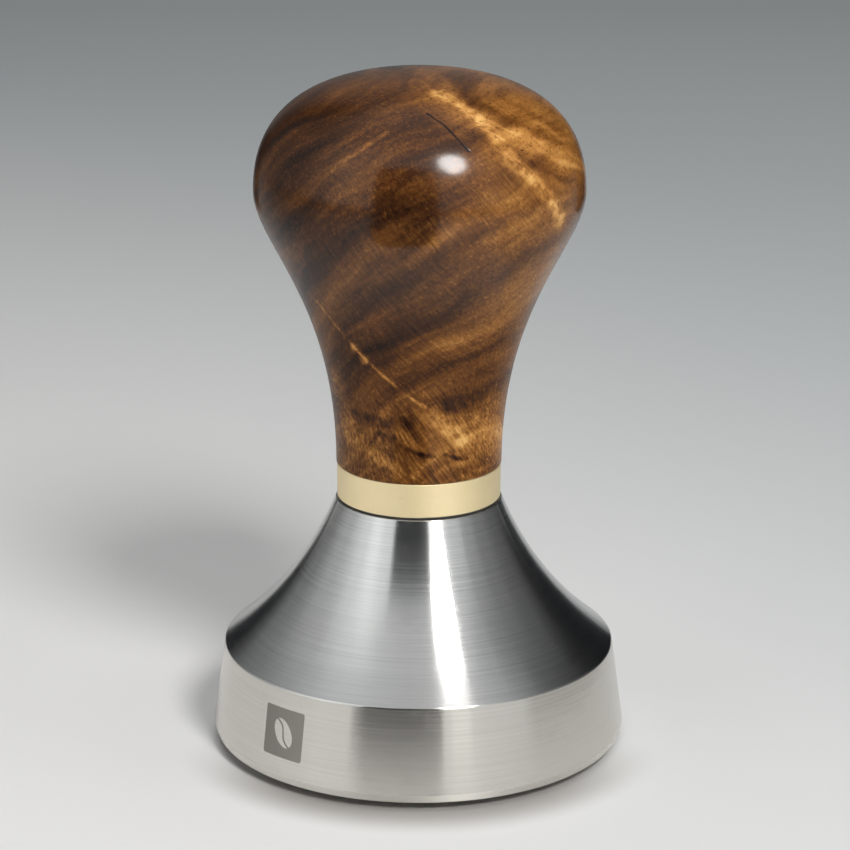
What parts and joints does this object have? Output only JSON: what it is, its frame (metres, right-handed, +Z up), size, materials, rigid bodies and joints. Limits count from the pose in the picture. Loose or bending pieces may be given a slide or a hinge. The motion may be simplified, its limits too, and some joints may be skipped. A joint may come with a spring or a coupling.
{
  "type": "espresso tamper",
  "caption": "Espresso tamper: a flared steel piston with a tapered rim, a brass ferrule and a turned mushroom handle that unscrews.",
  "frame": {"origin": "centre of the flat middle of the base's underside, on the tamper's axis", "axes": "+Z up along the axis, from the underside to the top of the handle; X and Y are free, because the object is turned"},
  "size_m": [0.0584, 0.0584, 0.0952],
  "materials": {
    "stainless_steel": "fine turned, satin, with lines that run round the axis",
    "black_rubber": "matt",
    "ferrule_brass": "pale satin brass",
    "stud_steel": "bright zinc-plated thread",
    "insert_brass": "machined",
    "walnut": "figured walnut under a clear gloss lacquer"
  },
  "bodies": {
    "base": {"tamper_base": "stainless_steel"},
    "washer": {"neck_washer": "black_rubber"},
    "grip": {"handle": "walnut", "ferrule": "ferrule_brass", "stud_insert": "insert_brass", "threaded_stud": "stud_steel"}
  },
  "joints": [
    {"name": "washer_lift", "type": "slide", "parent": "base", "child": "washer", "axis": [0, 0, 1], "range_m": [0, 0.01375]},
    {"name": "handle_unscrew", "type": "hinge", "parent": "washer", "child": "grip", "pos_m": [0, 0, 0.03555], "axis": [0, 0, 1], "range_deg": [0, 3960]}
  ],
  "couplings": [
    {"joint": "washer_lift", "follows": "handle_unscrew", "m_per_rad": 0.00019894}
  ]
}
